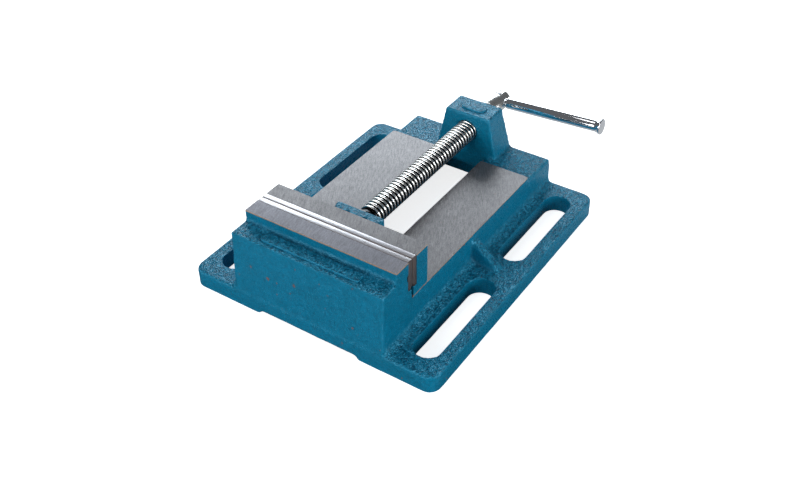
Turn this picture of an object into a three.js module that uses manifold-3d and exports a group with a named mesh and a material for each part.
// Low-profile drill press vise, 4 inch jaws, closed. Millimetres, +Z up.
// X runs along the jaws and +Y towards the handle. The origin is on the mounting face, under the
// middle of the vise with its spindle.
import * as THREE from 'three';
import { mergeVertices } from 'three/addons/utils/BufferGeometryUtils.js';
import Module from 'manifold-3d';

const wasm = await Module();
wasm.setup();

// Driving dimensions.
const JAW_WIDTH = 101.6;
const JAW_OPENING = 114.3;
const JAW_OVER_RAILS = 26.9;
const LEDGE_DROP = 7;
const LEDGE_DEPTH = 16.1;
const FRONT_DRAFT = 2.8;
const FOOT_RELIEF = 1.7;
const FOOT_INSET = 14.4;
const FIXED_JAW_DEPTH = 10.8;
const MOVING_JAW_DEPTH = 10.7;
const PLATE_THICKNESS = 3.75;
const PLATE_HEIGHT = 20;
const LIP_RELIEF = 0.8;

const FLANGE_REACH = 31.9;
const FLANGE_THICKNESS = 11.3;
const FLANGE_CORNER_RADIUS = 6;
const FLANGE_EDGE_ROUND = 1.2;
const RAIL_TOP = 30.8;
const RAIL_GAP = 32.6;
const RAIL_THICKNESS = 13.4;
const SIDE_WALL = 8;
const FRONT_WALL = 9;
const REAR_WALL = 10;
const WALL_DRAFT = 1.6;
const CORE_DRAFT = 1;
const BRIDGE_DROP = 2.9;
const TOWER_SETBACK = 8.6;
const TOWER_CROWN = 5.6;
const TOWER_WALL = 8.8;
const TOWER_FOOT_OVERLAP = 5.9;
const TOWER_TOP_DEPTH = 18;
const TOWER_FOOT_DEPTH = 21;
const RIB_THICKNESS = 6;
const RIB_TOP_DROP = 3;
const RIB_REACH = 18;

const SLOT_WIDTH = 16.6;
const SLOT_FROM_WALL = 15.3;
const SLOT_INNER_END = 11.4;
const SLOT_END_MARGIN = 12.25;

const NOSE_CROWN = 4;
const NOSE_REACH = 10.2;
const STOP_CLEARANCE = 3;
const KEEPER_OVERLAP = 7.7;
const KEEPER_LENGTH = 30;
const KEEPER_THICKNESS = 5;

const SPINDLE_OVER_RAILS = 12.6;
const THREAD_DIAMETER = 14;
const COLLAR_STEP = 0.8;
const COLLAR_LENGTH = 5.2;
const NECK_STEP = 2;
const NECK_FRONT_WALL = 5.6;
const NECK_CHAMFER = 0.8;
const GROOVE_DEPTH = 1.1;
const GROOVE_FROM_NOSE_REAR = 6.7;
const HEAD_STEP = 1;
const HEAD_CHAMFER = 0.8;
const HEAD_LENGTH = 19.6;
const HEAD_BEYOND_HANDLE = 4.8;
const HANDLE_OVERHANG = 22.8;
const HANDLE_DIAMETER = 8;
const HANDLE_TANG_DIAMETER = 6;
const HANDLE_REACH = 74.6;
const HANDLE_END_DIAMETER = 10.3;
const HANDLE_FLARE = { start: 3, full: 0.8, chamfer: 0.4 };
const HANDLE_SHOULDER = 0.6;
const TANG_INSET = 0.5;
const HANDLE_TILT_DEG = 3.6;
const HANDLE_PIN_DIAMETER = 3.2;
const HANDLE_PIN_PROUD = 0.6;
const RETAINING_PIN_DIAMETER = 4;
const PIN_BELOW_NECK = 2;
const SPRING_PIN_BORE = 0.5;
const SPRING_PIN_SLIT = 0.16;

// Named clearances.
const CLOSED_GAP = 0.3;
const SEAT_GAP = 0.1;
const SLIDE_GAP = 0.3;
const HOLE_GAP = 0.3;

// How far a cutter runs past the face it opens.
const THROUGH = 1;

// Straight stretch kept between the arcs at the end of a slot or an oval pad.
const ARC_MARGIN = 0.05;

// Screws, washers and raised pads.
const PLATE_SCREW = {
  thread: 5, head: 9.8, rim: 0.3, headHeight: 2.7, length: 10, socket: 3, socketDepth: 1.6,
};
const PLATE_SCREW_INSET = 15.8;
const KEEPER_SCREW = { thread: 6, acrossFlats: 10, headHeight: 4, intoTongue: 13 };
const KEEPER_SCREW_SPACING = 14;
const LOCK_WASHER = { outer: 11, thickness: 1.5, split: 1.2 };
const THRUST_WASHER = { step: 2, thickness: 1.5 };
const NAME_PAD = { inset: 17.8, width: 7, height: 0.8 };
const TOWER_PAD = { length: 17, width: 8, height: 0.8 };

// Stations along Y, from the front of the base to the end of the spindle.
const jawStack = FIXED_JAW_DEPTH + MOVING_JAW_DEPTH + CLOSED_GAP + 2 * (PLATE_THICKNESS + SEAT_GAP);
const baseLength = LEDGE_DEPTH + jawStack + NOSE_REACH + JAW_OPENING + STOP_CLEARANCE + TOWER_FOOT_DEPTH;
const overallLength = baseLength + HANDLE_OVERHANG + HEAD_BEYOND_HANDLE;
const baseFront = -overallLength / 2;
const baseRear = baseFront + baseLength;
const baseMiddle = (baseFront + baseRear) / 2;
const fixedJawFront = baseFront + LEDGE_DEPTH;
const fixedSeat = fixedJawFront + FIXED_JAW_DEPTH;
const fixedFace = fixedSeat + SEAT_GAP + PLATE_THICKNESS;
const fixedLip = fixedFace - LIP_RELIEF;
const movingFace = fixedFace + CLOSED_GAP;
const movingLip = movingFace + LIP_RELIEF;
const movingSeat = movingFace + PLATE_THICKNESS + SEAT_GAP;
const movingRear = movingSeat + MOVING_JAW_DEPTH;
const noseRear = movingRear + NOSE_REACH;
const towerFront = noseRear + JAW_OPENING + STOP_CLEARANCE;
const railEnd = towerFront - TOWER_SETBACK;
const handleStation = baseRear + HANDLE_OVERHANG;
const spindleEnd = handleStation + HEAD_BEYOND_HANDLE;
const grooveStation = noseRear - GROOVE_FROM_NOSE_REAR;
const neckFront = movingSeat + NECK_FRONT_WALL + HOLE_GAP;
const slotLength = baseLength / 2 - SLOT_INNER_END - SLOT_END_MARGIN;

// Levels and half widths.
const jawTop = RAIL_TOP + JAW_OVER_RAILS;
const ledgeTop = jawTop - LEDGE_DROP;
const bridgeTop = RAIL_TOP - BRIDGE_DROP;
const plateBottom = jawTop - PLATE_HEIGHT;
const plateScrewHeight = jawTop - PLATE_HEIGHT / 2;
const jawHalf = JAW_WIDTH / 2;
const wallFootHalf = jawHalf + WALL_DRAFT;
const baseWidth = 2 * (wallFootHalf + FLANGE_REACH);
const slotMiddle = wallFootHalf + SLOT_FROM_WALL;
const plateScrewOffset = jawHalf - PLATE_SCREW_INSET;
const coreHalf = jawHalf - SIDE_WALL;
const coreCeiling = RAIL_TOP - RAIL_THICKNESS;
const tongueHalf = RAIL_GAP / 2 - SLIDE_GAP;
const keeperHalf = RAIL_GAP / 2 + KEEPER_OVERLAP;
const keeperTop = coreCeiling - SLIDE_GAP;
const tongueBottom = keeperTop + SEAT_GAP;
const keeperBottom = keeperTop - KEEPER_THICKNESS;
const washerBottom = keeperBottom - SEAT_GAP - LOCK_WASHER.thickness;
const keeperScrewTop = tongueBottom + KEEPER_SCREW.intoTongue;
const tongueMiddle = (movingLip + noseRear) / 2;

// Spindle radii and the castings that go round it.
const spindleHeight = RAIL_TOP + SPINDLE_OVER_RAILS;
const threadRadius = THREAD_DIAMETER / 2;
const collarRadius = threadRadius - COLLAR_STEP;
const neckRadius = threadRadius - NECK_STEP;
const grooveRadius = neckRadius - GROOVE_DEPTH;
const headRadius = threadRadius - HEAD_STEP;
const washerRadius = threadRadius + THRUST_WASHER.step;
const noseTop = spindleHeight + neckRadius + NOSE_CROWN;
const towerTop = spindleHeight + threadRadius + TOWER_CROWN;
const towerTopHalf = threadRadius + TOWER_WALL;
const towerFootHalf = RAIL_GAP / 2 + TOWER_FOOT_OVERLAP;
const pinOffset = grooveRadius + RETAINING_PIN_DIAMETER / 2 + SEAT_GAP;
const pinBottom = spindleHeight - neckRadius - PIN_BELOW_NECK;

const castPaint = { color: 0x14668a, roughness: 0.5, metalness: 0 };
const groundSteel = { color: 0xd6d6dc, roughness: 0.3, metalness: 0.9 };
const darkSteel = { color: 0x3c3c40, roughness: 0.45, metalness: 0.8 };
const brightZinc = { color: 0xdcd9cc, roughness: 0.2, metalness: 1 };
const chromePlate = { color: 0xe6e8ec, roughness: 0.08, metalness: 1 };

// A closed geometry as a solid that can be joined and cut.
function solid(geometry) {
  geometry.deleteAttribute('normal');
  geometry.deleteAttribute('uv');
  const merged = mergeVertices(geometry, 1e-4);
  return new wasm.Manifold(new wasm.Mesh({
    numProp: 3,
    vertProperties: new Float32Array(merged.attributes.position.array),
    triVerts: new Uint32Array(merged.index.array),
  }));
}

function joined(first, ...others) {
  return others.reduce((whole, piece) => whole.add(piece), first);
}

function cut(first, ...cutters) {
  return cutters.reduce((whole, cutter) => whole.subtract(cutter), first);
}

// A solid back as a named mesh.
function part(name, shape, look) {
  const { vertProperties, triVerts } = shape.getMesh();
  const geometry = new THREE.BufferGeometry();
  geometry.setAttribute('position', new THREE.BufferAttribute(vertProperties, 3));
  geometry.setIndex(new THREE.BufferAttribute(triVerts, 1));
  geometry.computeVertexNormals();
  const mesh = new THREE.Mesh(geometry, new THREE.MeshStandardMaterial(look));
  mesh.name = name;
  return mesh;
}

function box(x0, x1, y0, y1, z0, z1) {
  const geometry = new THREE.BoxGeometry(x1 - x0, y1 - y0, z1 - z0);
  geometry.translate((x0 + x1) / 2, (y0 + y1) / 2, (z0 + z1) / 2);
  return solid(geometry);
}

// A block whose foot and top are different rectangles, as a casting with draft has.
function draftBlock(foot, top) {
  const geometry = new THREE.BoxGeometry(1, 1, 1);
  const position = geometry.attributes.position;
  for (let i = 0; i < position.count; i += 1) {
    const level = position.getZ(i) > 0 ? top : foot;
    const x = position.getX(i) > 0 ? level.x1 : level.x0;
    const y = position.getY(i) > 0 ? level.y1 : level.y0;
    position.setXYZ(i, x, y, level.z);
  }
  return solid(geometry);
}

function plateShape(width, length, radius) {
  const x = width / 2 - radius;
  const y = length / 2 - radius;
  const shape = new THREE.Shape();
  shape.absarc(x, y, radius, 0, Math.PI / 2);
  shape.absarc(-x, y, radius, Math.PI / 2, Math.PI);
  shape.absarc(-x, -y, radius, Math.PI, 1.5 * Math.PI);
  shape.absarc(x, -y, radius, 1.5 * Math.PI, 2 * Math.PI);
  return shape;
}

// A plate with round corners, standing from z0 to z1 about (x, y).
function roundedPlate(width, length, radius, x, y, z0, z1) {
  const geometry = new THREE.ExtrudeGeometry(plateShape(width, length, radius), {
    depth: z1 - z0, bevelEnabled: false, curveSegments: 8,
  });
  geometry.translate(x, y, z0);
  return solid(geometry);
}

// A solid of revolution about Y: points are [radius, y] from the front face to the rear face.
function turned(points, segments = 32) {
  const first = points[0];
  const last = points[points.length - 1];
  const outline = [[0, first[1]], ...points, [0, last[1]]];
  const profile = outline.map(([radius, y]) => new THREE.Vector2(radius, y));
  return solid(new THREE.LatheGeometry(profile, segments));
}

function rodAlongY(diameter, y0, y1, x, z, segments = 32) {
  const geometry = new THREE.CylinderGeometry(diameter / 2, diameter / 2, y1 - y0, segments);
  geometry.translate(x, (y0 + y1) / 2, z);
  return solid(geometry);
}

function rodAlongZ(diameter, x, y, z0, z1, segments = 24) {
  const geometry = new THREE.CylinderGeometry(diameter / 2, diameter / 2, z1 - z0, segments);
  geometry.rotateX(Math.PI / 2);
  geometry.translate(x, y, (z0 + z1) / 2);
  return solid(geometry);
}

function rodAlongX(diameter, x0, x1, y, z, segments = 24) {
  const geometry = new THREE.CylinderGeometry(diameter / 2, diameter / 2, x1 - x0, segments);
  geometry.rotateZ(Math.PI / 2);
  geometry.translate((x0 + x1) / 2, y, z);
  return solid(geometry);
}

// A rolled spring pin: a tube with a slit down one side, standing on Z.
function springPin(diameter, x, y, z0, z1) {
  const tube = rodAlongZ(diameter, x, y, z0, z1);
  const bore = rodAlongZ(diameter * SPRING_PIN_BORE, x, y, z0 - THROUGH, z1 + THROUGH, 16);
  const slitHalf = diameter * SPRING_PIN_SLIT / 2;
  const slit = box(x - slitHalf, x + slitHalf, y, y + diameter, z0 - THROUGH, z1 + THROUGH);
  return cut(tube, bore, slit);
}

// The base flange with its rounded corners and softened top edge.
function flange() {
  const shape = plateShape(
    baseWidth - 2 * FLANGE_EDGE_ROUND,
    baseLength - 2 * FLANGE_EDGE_ROUND,
    FLANGE_CORNER_RADIUS,
  );
  const geometry = new THREE.ExtrudeGeometry(shape, {
    depth: FLANGE_THICKNESS,
    bevelThickness: FLANGE_EDGE_ROUND,
    bevelSize: FLANGE_EDGE_ROUND,
    bevelSegments: 2,
    curveSegments: 8,
  });
  geometry.translate(0, baseMiddle, -FLANGE_EDGE_ROUND);
  const below = box(-baseWidth, baseWidth, 2 * baseFront, -2 * baseFront, -FLANGE_THICKNESS, 0);
  return solid(geometry).subtract(below);
}

// The fixed jaw: the drafted block under the ledge and the upright behind it.
function fixedJaw() {
  const block = draftBlock(
    { x0: -wallFootHalf, x1: wallFootHalf, y0: baseFront, y1: fixedLip, z: 0 },
    { x0: -jawHalf, x1: jawHalf, y0: baseFront + FRONT_DRAFT, y1: fixedLip, z: ledgeTop },
  );
  const upright = box(-jawHalf, jawHalf, fixedJawFront, fixedLip, RAIL_TOP, jawTop);
  const seat = box(-baseWidth, baseWidth, fixedSeat, movingRear, plateBottom - SEAT_GAP, jawTop + THROUGH);
  const padY = (baseFront + FRONT_DRAFT + fixedJawFront) / 2;
  const pad = roundedPlate(
    JAW_WIDTH - 2 * NAME_PAD.inset, NAME_PAD.width, NAME_PAD.width / 4,
    0, padY, ledgeTop - THROUGH, ledgeTop + NAME_PAD.height,
  );
  return joined(cut(joined(block, upright), seat), pad);
}

// The bed: both rails and the bridge that closes them at the rear.
function bed() {
  const rails = draftBlock(
    { x0: -wallFootHalf, x1: wallFootHalf, y0: fixedJawFront, y1: railEnd, z: 0 },
    { x0: -jawHalf, x1: jawHalf, y0: fixedJawFront, y1: railEnd, z: RAIL_TOP },
  );
  const bridge = draftBlock(
    { x0: -wallFootHalf, x1: wallFootHalf, y0: fixedJawFront, y1: baseRear, z: 0 },
    { x0: -jawHalf, x1: jawHalf, y0: fixedJawFront, y1: baseRear, z: bridgeTop },
  );
  return joined(rails, bridge);
}

// The upright on the bridge that holds the spindle thread.
function tower() {
  const foot = {
    x0: -towerFootHalf, x1: towerFootHalf, y0: towerFront, y1: baseRear, z: bridgeTop - THROUGH,
  };
  const top = {
    x0: -towerTopHalf, x1: towerTopHalf, y0: towerFront, y1: towerFront + TOWER_TOP_DEPTH, z: towerTop,
  };
  const body = draftBlock(foot, top);
  const pad = roundedPlate(
    TOWER_PAD.length, TOWER_PAD.width, TOWER_PAD.width / 2 - ARC_MARGIN,
    0, towerFront + TOWER_TOP_DEPTH / 2, towerTop - THROUGH, towerTop + TOWER_PAD.height,
  );
  return body.add(pad);
}

// The gusset between a side wall and the flange, on the side given by its sign.
function rib(side) {
  const inner = side * (jawHalf - SIDE_WALL / 2);
  const shape = new THREE.Shape();
  shape.moveTo(inner, THROUGH);
  shape.lineTo(side * (wallFootHalf + RIB_REACH), THROUGH);
  shape.lineTo(side * (wallFootHalf + RIB_REACH), FLANGE_THICKNESS);
  shape.lineTo(side * jawHalf, RAIL_TOP - RIB_TOP_DROP);
  shape.lineTo(inner, RAIL_TOP - RIB_TOP_DROP);
  const geometry = new THREE.ExtrudeGeometry(shape, { depth: RIB_THICKNESS, bevelEnabled: false });
  geometry.rotateX(Math.PI / 2);
  geometry.translate(0, baseMiddle + RIB_THICKNESS / 2, 0);
  return solid(geometry);
}

function boltSlot(side, end) {
  const y = baseMiddle + end * (SLOT_INNER_END + slotLength / 2);
  return roundedPlate(
    SLOT_WIDTH, slotLength, SLOT_WIDTH / 2 - ARC_MARGIN,
    side * slotMiddle, y, -THROUGH, FLANGE_THICKNESS + THROUGH,
  );
}

function plateScrewHole(x, from, to) {
  return rodAlongY(PLATE_SCREW.thread + 2 * HOLE_GAP, from, to, x, plateScrewHeight);
}

// The shallow relief that leaves the base standing on its two sides.
function footRelief() {
  const half = wallFootHalf - FOOT_INSET;
  const slope = 3 * FOOT_RELIEF;
  return draftBlock(
    { x0: -half, x1: half, y0: 2 * baseFront, y1: -2 * baseFront, z: -FOOT_RELIEF },
    { x0: slope - half, x1: half - slope, y0: 2 * baseFront, y1: -2 * baseFront, z: FOOT_RELIEF },
  );
}

function baseCasting() {
  const railGap = box(-RAIL_GAP / 2, RAIL_GAP / 2, fixedLip, towerFront, -THROUGH, RAIL_TOP + THROUGH);
  const core = draftBlock(
    { x0: -coreHalf, x1: coreHalf, y0: baseFront + FRONT_WALL, y1: baseRear - REAR_WALL, z: -THROUGH },
    {
      x0: CORE_DRAFT - coreHalf, x1: coreHalf - CORE_DRAFT,
      y0: baseFront + FRONT_WALL + CORE_DRAFT, y1: baseRear - REAR_WALL - CORE_DRAFT, z: coreCeiling,
    },
  );
  const spindleBore = rodAlongY(
    THREAD_DIAMETER + 2 * HOLE_GAP, towerFront - THROUGH, baseRear + THROUGH, 0, spindleHeight, 48,
  );
  const screwDepth = PLATE_SCREW.length - PLATE_THICKNESS + THROUGH;
  const screwHoles = [-1, 1].map((side) => (
    plateScrewHole(side * plateScrewOffset, fixedSeat - screwDepth, fixedSeat + THROUGH)
  ));
  const slots = [[-1, -1], [-1, 1], [1, -1], [1, 1]].map(([side, end]) => boltSlot(side, end));
  const body = joined(flange(), bed(), fixedJaw(), tower(), rib(-1), rib(1));
  const cutters = [railGap, core, footRelief(), spindleBore, ...screwHoles, ...slots];
  return part('base_casting', cut(body, ...cutters), castPaint);
}

function movingJaw() {
  const sole = RAIL_TOP + SEAT_GAP;
  const upright = box(-jawHalf, jawHalf, movingSeat, movingRear, sole, jawTop);
  const lip = box(-jawHalf, jawHalf, movingLip, movingRear, sole, plateBottom - SEAT_GAP);
  const tongue = box(-tongueHalf, tongueHalf, movingLip, noseRear, tongueBottom, plateBottom - SEAT_GAP);
  const nose = box(-tongueHalf, tongueHalf, movingSeat, noseRear, plateBottom - THROUGH, noseTop);
  const neckBore = rodAlongY(
    2 * (neckRadius + HOLE_GAP), neckFront - HOLE_GAP, noseRear + THROUGH, 0, spindleHeight,
  );
  const pinHoles = [-1, 1].map((side) => rodAlongZ(
    RETAINING_PIN_DIAMETER + 2 * HOLE_GAP, side * pinOffset, grooveStation,
    pinBottom, noseTop + THROUGH,
  ));
  const keeperHoles = keeperScrewStations().map((y) => rodAlongZ(
    KEEPER_SCREW.thread + 2 * HOLE_GAP, 0, y, tongueBottom - THROUGH, keeperScrewTop + THROUGH,
  ));
  const screwDepth = PLATE_SCREW.length - PLATE_THICKNESS + THROUGH;
  const screwHoles = [-1, 1].map((side) => (
    plateScrewHole(side * plateScrewOffset, movingSeat - THROUGH, movingSeat + screwDepth)
  ));
  const body = joined(upright, lip, tongue, nose);
  return part('moving_jaw', cut(body, neckBore, ...pinHoles, ...keeperHoles, ...screwHoles), castPaint);
}

// A screw with a countersunk head, its face at y = 0 and its shank along +Y.
function countersunkScrew(clearance) {
  const head = PLATE_SCREW.head / 2 + clearance;
  const shank = PLATE_SCREW.thread / 2 + clearance;
  return turned([
    [head, -clearance],
    [head, PLATE_SCREW.rim],
    [shank, PLATE_SCREW.headHeight],
    [shank, PLATE_SCREW.length + clearance],
  ]);
}

function hexPrism(acrossFlats, y0, y1) {
  return rodAlongY(acrossFlats / Math.cos(Math.PI / 6), y0, y1, 0, 0, 6);
}

// A jaw plate with its two screws. direction is the way its screws point along Y.
function jawPlate(name, face, direction) {
  const back = face + direction * PLATE_THICKNESS;
  const low = Math.min(face, back);
  const high = Math.max(face, back);
  const blank = box(-jawHalf, jawHalf, low, high, plateBottom, jawTop);
  const turn = direction > 0 ? 0 : 180;
  const place = (shape, x) => shape.rotate([0, 0, turn]).translate([x, face, plateScrewHeight]);
  const sides = [['left', -1], ['right', 1]];
  const stations = sides.map(([side, sign]) => [side, sign * plateScrewOffset]);
  const sinks = stations.map(([, x]) => place(countersunkScrew(HOLE_GAP), x));
  const plate = part(`${name}_jaw_plate`, cut(blank, ...sinks), groundSteel);
  const screws = stations.map(([side, x]) => {
    const socket = hexPrism(PLATE_SCREW.socket, -THROUGH, PLATE_SCREW.socketDepth);
    return part(`${name}_plate_screw_${side}`, place(countersunkScrew(0).subtract(socket), x), darkSteel);
  });
  return [plate, ...screws];
}

function keeperScrewStations() {
  return [tongueMiddle - KEEPER_SCREW_SPACING / 2, tongueMiddle + KEEPER_SCREW_SPACING / 2];
}

function keeperPlate() {
  const blank = box(
    -keeperHalf, keeperHalf,
    tongueMiddle - KEEPER_LENGTH / 2, tongueMiddle + KEEPER_LENGTH / 2, keeperBottom, keeperTop,
  );
  const holes = keeperScrewStations().map((y) => rodAlongZ(
    KEEPER_SCREW.thread + 2 * HOLE_GAP, 0, y, keeperBottom - THROUGH, keeperTop + THROUGH,
  ));
  return part('keeper_plate', cut(blank, ...holes), darkSteel);
}

function keeperScrew(name, y) {
  const headTop = washerBottom - SEAT_GAP;
  const head = hexPrism(KEEPER_SCREW.acrossFlats, 0, KEEPER_SCREW.headHeight)
    .rotate([90, 0, 0])
    .translate([0, y, headTop - KEEPER_SCREW.headHeight]);
  const shank = rodAlongZ(KEEPER_SCREW.thread, 0, y, headTop - THROUGH, keeperScrewTop);
  return part(name, head.add(shank), darkSteel);
}

function lockWasher(name, y) {
  const top = washerBottom + LOCK_WASHER.thickness;
  const disc = rodAlongZ(LOCK_WASHER.outer, 0, y, washerBottom, top);
  const bore = rodAlongZ(
    KEEPER_SCREW.thread + 2 * HOLE_GAP, 0, y, washerBottom - THROUGH, top + THROUGH,
  );
  const split = box(
    0, LOCK_WASHER.outer, y, y + LOCK_WASHER.split, washerBottom - THROUGH, top + THROUGH,
  );
  return part(name, cut(disc, bore, split), darkSteel);
}

function thrustWasher() {
  const front = noseRear + SEAT_GAP;
  const rear = front + THRUST_WASHER.thickness;
  const disc = rodAlongY(2 * washerRadius, front, rear, 0, spindleHeight);
  const bore = rodAlongY(
    2 * (neckRadius + HOLE_GAP), front - THROUGH, rear + THROUGH, 0, spindleHeight,
  );
  return part('thrust_washer', disc.subtract(bore), darkSteel);
}

// The spindle about its own axis, with y measured along the vise.
function spindle() {
  const grooveHalf = RETAINING_PIN_DIAMETER / 2 + HOLE_GAP;
  const collarFront = noseRear + 2 * SEAT_GAP + THRUST_WASHER.thickness;
  const threadFront = collarFront + COLLAR_LENGTH;
  const headFront = spindleEnd - HEAD_LENGTH;
  const body = turned([
    [neckRadius - NECK_CHAMFER, neckFront], [neckRadius, neckFront + NECK_CHAMFER],
    [neckRadius, grooveStation - grooveHalf], [grooveRadius, grooveStation - grooveHalf],
    [grooveRadius, grooveStation + grooveHalf], [neckRadius, grooveStation + grooveHalf],
    [neckRadius, collarFront], [collarRadius, collarFront],
    [collarRadius, threadFront], [threadRadius, threadFront + COLLAR_STEP],
    [threadRadius, headFront - HEAD_STEP], [headRadius, headFront],
    [headRadius, spindleEnd - HEAD_CHAMFER], [headRadius - HEAD_CHAMFER, spindleEnd],
  ], 40);
  const tangHole = rodAlongX(
    HANDLE_TANG_DIAMETER + 2 * HOLE_GAP, -threadRadius, threadRadius, handleStation, 0,
  );
  const pinHole = rodAlongZ(
    HANDLE_PIN_DIAMETER + 2 * HOLE_GAP, 0, handleStation, -threadRadius, threadRadius,
  );
  return part('spindle', cut(body, tangHole, pinHole), brightZinc);
}

// The handle bar, its reduced tang passing through the spindle head.
function handleBar() {
  const tang = HANDLE_TANG_DIAMETER / 2;
  const bar = HANDLE_DIAMETER / 2;
  const end = HANDLE_END_DIAMETER / 2;
  const shoulder = headRadius + HOLE_GAP;
  const body = turned([
    [tang, TANG_INSET - headRadius], [tang, shoulder],
    [bar - HANDLE_SHOULDER, shoulder], [bar, shoulder + HANDLE_SHOULDER],
    [bar, HANDLE_REACH - HANDLE_FLARE.start], [end, HANDLE_REACH - HANDLE_FLARE.full],
    [end, HANDLE_REACH - HANDLE_FLARE.chamfer], [end - HANDLE_FLARE.chamfer, HANDLE_REACH],
  ]).rotate([0, 0, -90]).translate([0, handleStation, 0]);
  const pinHole = rodAlongZ(
    HANDLE_PIN_DIAMETER + 2 * HOLE_GAP, 0, handleStation, -headRadius, headRadius,
  );
  return part('handle_bar', body.subtract(pinHole), chromePlate);
}

function handlePin() {
  const reach = headRadius + HANDLE_PIN_PROUD;
  return part('handle_pin', springPin(HANDLE_PIN_DIAMETER, 0, handleStation, -reach, reach), chromePlate);
}

function retainingPin(name, side) {
  const bottom = pinBottom + HOLE_GAP;
  const pin = springPin(RETAINING_PIN_DIAMETER, side * pinOffset, grooveStation, bottom, noseTop);
  return part(name, pin, darkSteel);
}

// Everything that turns with the spindle, tilted as the handle rests.
const turningParts = new THREE.Group();
turningParts.position.z = spindleHeight;
turningParts.rotation.y = -THREE.MathUtils.degToRad(HANDLE_TILT_DEG);
turningParts.add(spindle(), handleBar(), handlePin());

const [keeperFront, keeperRear] = keeperScrewStations();
const vise = new THREE.Group();
vise.add(
  baseCasting(),
  ...jawPlate('fixed', fixedFace, -1),
  movingJaw(),
  ...jawPlate('moving', movingFace, 1),
  keeperPlate(),
  keeperScrew('keeper_screw_front', keeperFront),
  keeperScrew('keeper_screw_rear', keeperRear),
  lockWasher('keeper_washer_front', keeperFront),
  lockWasher('keeper_washer_rear', keeperRear),
  retainingPin('retaining_pin_left', -1),
  retainingPin('retaining_pin_right', 1),
  thrustWasher(),
  turningParts,
);

export default vise;
